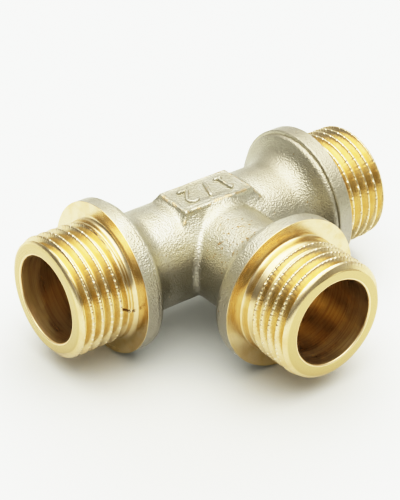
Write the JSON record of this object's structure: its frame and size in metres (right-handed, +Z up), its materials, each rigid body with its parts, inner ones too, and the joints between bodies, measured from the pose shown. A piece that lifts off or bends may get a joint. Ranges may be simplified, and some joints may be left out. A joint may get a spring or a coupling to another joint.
{
  "type": "equal tee fitting",
  "caption": "Equal tee pipe fitting with male parallel threads and a sealing collar on each port, nickel-plated brass.",
  "frame": {"origin": "middle of the bounding box at its bottom, on the surface that the three collars stand on", "axes": "+X along the run towards the right port, +Z up, the branch port points along -Y"},
  "size_m": [0.066, 0.0468, 0.0268],
  "materials": {
    "nickel_plate": "shot-blasted forging with thin grey nickel plating over brass",
    "machined_brass": "bare turned brass, bright with fine tool marks"
  },
  "bodies": {
    "root": {"tee_body": "nickel_plate", "marking_pad": "nickel_plate", "collar_left": "nickel_plate", "collar_right": "nickel_plate", "collar_branch": "nickel_plate", "thread_left": "machined_brass", "thread_right": "machined_brass", "thread_branch": "machined_brass"}
  },
  "joints": []
}
